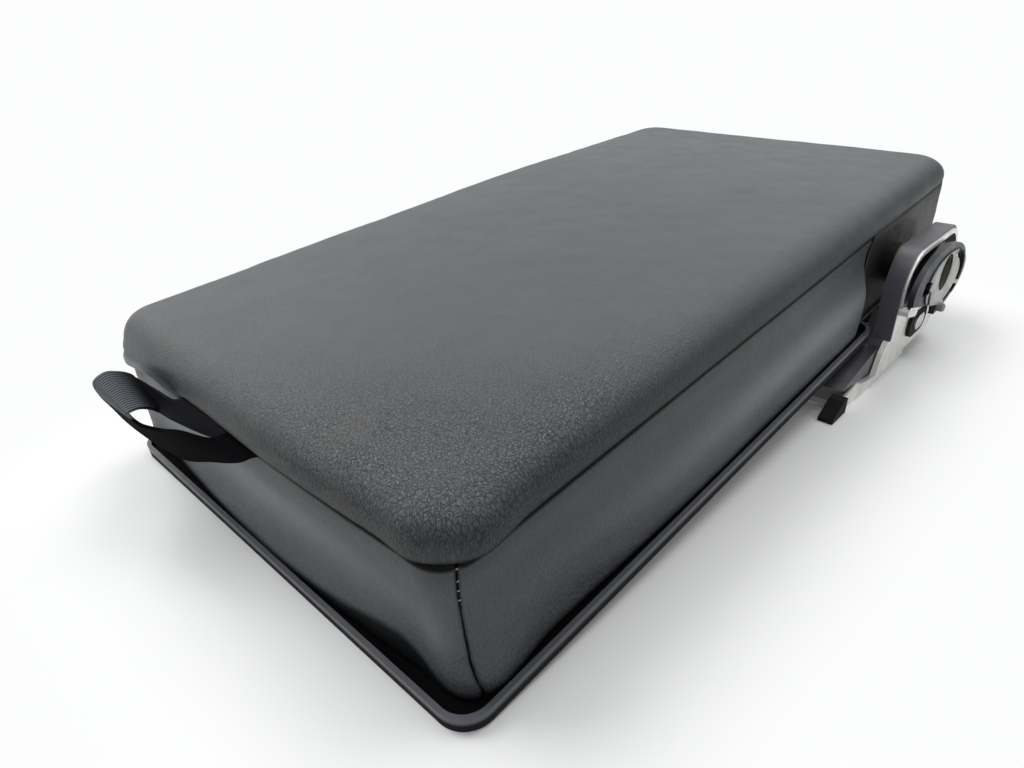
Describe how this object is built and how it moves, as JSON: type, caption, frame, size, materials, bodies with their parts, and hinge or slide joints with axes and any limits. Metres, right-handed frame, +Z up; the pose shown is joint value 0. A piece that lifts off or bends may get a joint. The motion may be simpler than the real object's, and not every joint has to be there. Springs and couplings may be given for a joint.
{
  "type": "rear seat armrest",
  "caption": "Fold-down armrest for a car's rear seat: leather-covered cushion on a hard base, woven pull strap at the front, and a hinged steel bracket on each side at the rear.",
  "frame": {"origin": "middle of the resting armrest's outline, on the floor it rests on", "axes": "+X to the armrest's right seen by a passenger's hand at the front edge looking back, +Y from the front edge with the strap to the hinged rear end, +Z up"},
  "size_m": [0.2624, 0.4246, 0.1025],
  "materials": {
    "cover_leather": "grained, worn satin",
    "rear_leather": "grained, dull",
    "webbing": "ribbed weave",
    "foam": "open-cell foam",
    "base_plastic": "satin grained",
    "cover_plastic": "satin",
    "bush_plastic": "smooth, greased",
    "frame_steel": "black primer",
    "bracket_steel": "zinc plated, worn",
    "hinge_steel": "turned and zinc plated",
    "pin_steel": "plain",
    "screw_steel": "zinc plated",
    "rubber": "matt"
  },
  "bodies": {
    "armrest": {"base_plate": "base_plastic", "plate_screws": "screw_steel", "foam_core": "foam", "inner_frame": "frame_steel", "top_pad": "cover_leather", "front_panel": "cover_leather", "right_panel": "cover_leather", "left_panel": "cover_leather", "rear_panel": "rear_leather", "pull_strap": "webbing", "pivot_tube_right": "hinge_steel", "pivot_tube_left": "hinge_steel", "stop_plate_right": "hinge_steel", "stop_plate_left": "hinge_steel", "plate_pin_right": "pin_steel", "plate_pin_left": "pin_steel"},
    "bracket_right": {"bracket_right": "bracket_steel", "hinge_cover_right": "cover_plastic", "bush_right": "bush_plastic", "lock_stud_right": "pin_steel", "grommet_right": "rubber", "buffer_right": "rubber"},
    "bracket_left": {"bracket_left": "bracket_steel", "hinge_cover_left": "cover_plastic", "bush_left": "bush_plastic", "lock_stud_left": "pin_steel", "grommet_left": "rubber", "buffer_left": "rubber"}
  },
  "joints": [
    {"name": "hinge_right", "type": "hinge", "parent": "armrest", "child": "bracket_right", "pos_m": [0.118, 0.1481, 0.04823], "axis": [1, 0, 0], "range_deg": [0, 95]},
    {"name": "hinge_left", "type": "hinge", "parent": "armrest", "child": "bracket_left", "pos_m": [-0.118, 0.1481, 0.04823], "axis": [1, 0, 0], "range_deg": [0, 95]}
  ]
}
